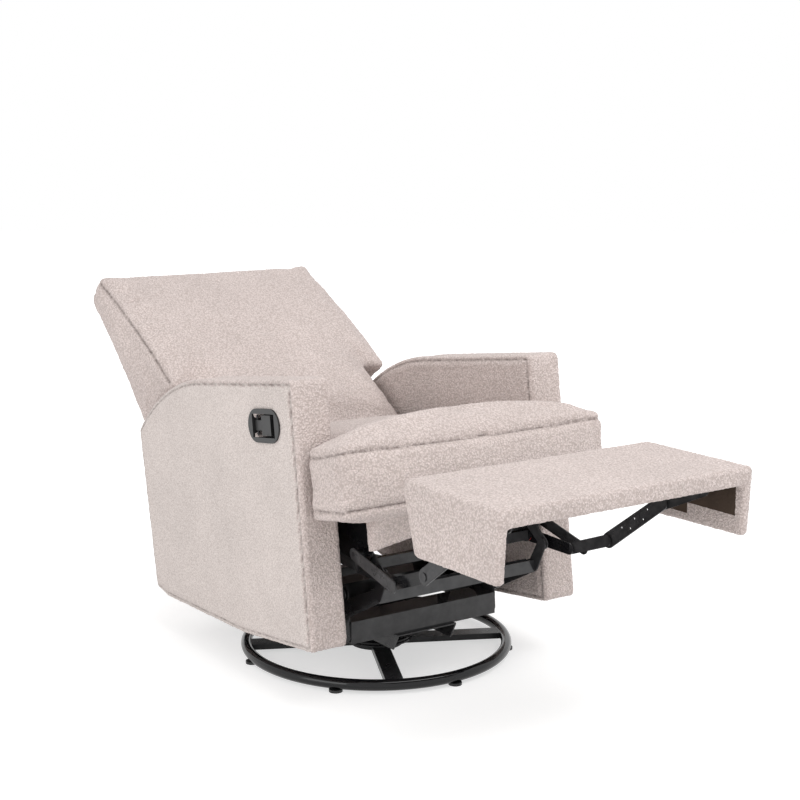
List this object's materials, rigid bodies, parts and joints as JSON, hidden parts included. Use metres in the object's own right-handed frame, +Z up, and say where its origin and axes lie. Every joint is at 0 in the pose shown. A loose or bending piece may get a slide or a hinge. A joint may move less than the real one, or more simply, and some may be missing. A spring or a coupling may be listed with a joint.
{
  "type": "recliner_chair",
  "caption": "Upholstered swivel glider recliner with a T-shaped seat cushion, winged back, wide track arms, a recessed release handle and a padded footrest on linkages.",
  "frame": {"origin": "centre of the base ring on the floor, on the swivel axis", "axes": "+X towards the footrest, +Y towards the sitter's left, +Z up"},
  "size_m": [1.7306, 0.72, 0.8104],
  "materials": {
    "black_steel": "satin",
    "gloss_black_steel": "gloss",
    "zinc_steel": "satin",
    "boucle_fabric": "matte",
    "arm_fabric": "matte",
    "underside_fabric": "matte",
    "black_plastic": "matte",
    "red_plastic": "matte",
    "frame_timber": "matte",
    "spring_steel": "satin"
  },
  "bodies": {
    "base": {"base_ring": "black_steel", "base_spokes": "black_steel", "floor_pads": "black_plastic", "lower_race": "black_steel", "bearing_rollers": "zinc_steel"},
    "swivel": {"swivel_post": "black_steel", "swivel_pan": "gloss_black_steel", "front_glide_beam": "gloss_black_steel", "rear_glide_beam": "gloss_black_steel", "glide_tower_left": "black_steel", "glide_tower_right": "black_steel"},
    "front_glide_links": {"front_glide_link_left": "black_steel", "front_glide_link_right": "black_steel"},
    "rear_glide_links": {"rear_glide_link_left": "black_steel", "rear_glide_link_right": "black_steel"},
    "carriage": {"carriage_rail_left": "black_steel", "carriage_rail_right": "black_steel", "rear_cross_member": "black_steel", "front_stretcher": "black_steel", "arm_brackets_left": "black_steel", "arm_brackets_right": "black_steel", "arm_left": "arm_fabric", "arm_right": "arm_fabric", "rear_lower_panel": "boucle_fabric", "handle_bezel": "black_plastic", "handle_pin": "zinc_steel"},
    "handle": {"release_paddle": "black_plastic"},
    "front_seat_links": {"front_seat_link_left": "black_steel", "front_seat_link_right": "black_steel"},
    "rear_seat_links": {"rear_seat_link_left": "black_steel", "rear_seat_link_right": "black_steel"},
    "seat": {"seat_side_plate_left": "black_steel", "seat_side_plate_right": "black_steel", "seat_frame": "frame_timber", "back_hinge_plate_left": "black_steel", "back_hinge_plate_right": "black_steel", "seat_springs": "spring_steel", "seat_cushion": "boucle_fabric", "seat_apron": "boucle_fabric"},
    "back": {"back_cushion": "boucle_fabric", "back_pivot_straps": "zinc_steel"},
    "cranks": {"torque_tube": "black_steel", "footrest_crank_left": "black_steel", "footrest_crank_right": "black_steel", "crank_washers": "red_plastic"},
    "middle_links": {"footrest_middle_link_left": "black_steel", "footrest_middle_link_right": "black_steel"},
    "carriers": {"footrest_carrier_left": "black_steel", "footrest_carrier_right": "black_steel"},
    "footrest": {"footrest_bracket_left": "black_steel", "footrest_bracket_right": "black_steel", "footrest_board": "frame_timber", "footrest_pad": "boucle_fabric"},
    "upper_links": {"footrest_upper_link_left": "black_steel", "footrest_upper_link_right": "black_steel"}
  },
  "joints": [
    {"name": "swivel", "type": "hinge", "parent": "base", "child": "swivel", "pos_m": [0, 0, 0.04], "axis": [0, 0, 1], "continuous": true},
    {"name": "glide", "type": "hinge", "parent": "swivel", "child": "front_glide_links", "pos_m": [0.172, 0, 0.208], "axis": [0, -1, 0], "range_deg": [0, 34]},
    {"name": "rear_glide", "type": "hinge", "parent": "swivel", "child": "rear_glide_links", "pos_m": [-0.092, 0, 0.208], "axis": [0, -1, 0], "range_deg": [0, 30.65]},
    {"name": "carriage_swing", "type": "hinge", "parent": "front_glide_links", "child": "carriage", "pos_m": [0.10758, 0, 0.14529], "axis": [0, -1, 0], "range_deg": [-45.07, 0]},
    {"name": "handle_pull", "type": "hinge", "parent": "carriage", "child": "handle", "pos_m": [0.07473, -0.352, 0.58088], "axis": [0.1359, 0, -0.9907], "range_deg": [0, 25], "stiffness_Nm_per_rad": 0.3},
    {"name": "front_seat_swing", "type": "hinge", "parent": "carriage", "child": "front_seat_links", "pos_m": [0.34397, 0, 0.29582], "axis": [0, -1, 0], "range_deg": [0, 24.05]},
    {"name": "rear_seat_swing", "type": "hinge", "parent": "carriage", "child": "rear_seat_links", "pos_m": [-0.02974, 0, 0.24608], "axis": [0, -1, 0], "range_deg": [0, 11.85]},
    {"name": "seat_tilt", "type": "hinge", "parent": "front_seat_links", "child": "seat", "pos_m": [0.29241, 0, 0.33316], "axis": [0, -1, 0], "range_deg": [-27.05, 0]},
    {"name": "recline", "type": "hinge", "parent": "seat", "child": "back", "pos_m": [-0.225, 0, 0.47012], "axis": [0, 1, 0], "range_deg": [0, 33]},
    {"name": "footrest", "type": "hinge", "parent": "seat", "child": "cranks", "pos_m": [0.27285, 0, 0.29919], "axis": [0, 1, 0], "range_deg": [0, 118.97]},
    {"name": "middle_swing", "type": "hinge", "parent": "cranks", "child": "middle_links", "pos_m": [0.41524, 0, 0.29802], "axis": [0, -1, 0], "range_deg": [0, 206.8]},
    {"name": "carrier_swing", "type": "hinge", "parent": "middle_links", "child": "carriers", "pos_m": [0.52743, 0, 0.34117], "axis": [0, 1, 0], "range_deg": [0, 128.51]},
    {"name": "footrest_turn", "type": "hinge", "parent": "carriers", "child": "footrest", "pos_m": [0.68235, 0, 0.45527], "axis": [0, 1, 0], "range_deg": [0, 39.36]},
    {"name": "upper_swing", "type": "hinge", "parent": "seat", "child": "upper_links", "pos_m": [0.29241, 0, 0.33316], "axis": [0, 1, 0], "range_deg": [0, 112.01]}
  ],
  "couplings": [
    {"joint": "rear_glide", "follows": "glide", "ratio": 0.9},
    {"joint": "carriage_swing", "follows": "glide", "ratio": -1.324},
    {"joint": "front_seat_swing", "follows": "recline", "ratio": 0.7273},
    {"joint": "seat_tilt", "follows": "recline", "ratio": -0.8182},
    {"joint": "rear_seat_swing", "follows": "recline", "ratio": 0.3576},
    {"joint": "middle_swing", "follows": "footrest", "ratio": 1.7378},
    {"joint": "carrier_swing", "follows": "footrest", "ratio": 1.0798},
    {"joint": "footrest_turn", "follows": "footrest", "ratio": 0.3304},
    {"joint": "upper_swing", "follows": "footrest", "ratio": 0.9411}
  ]
}
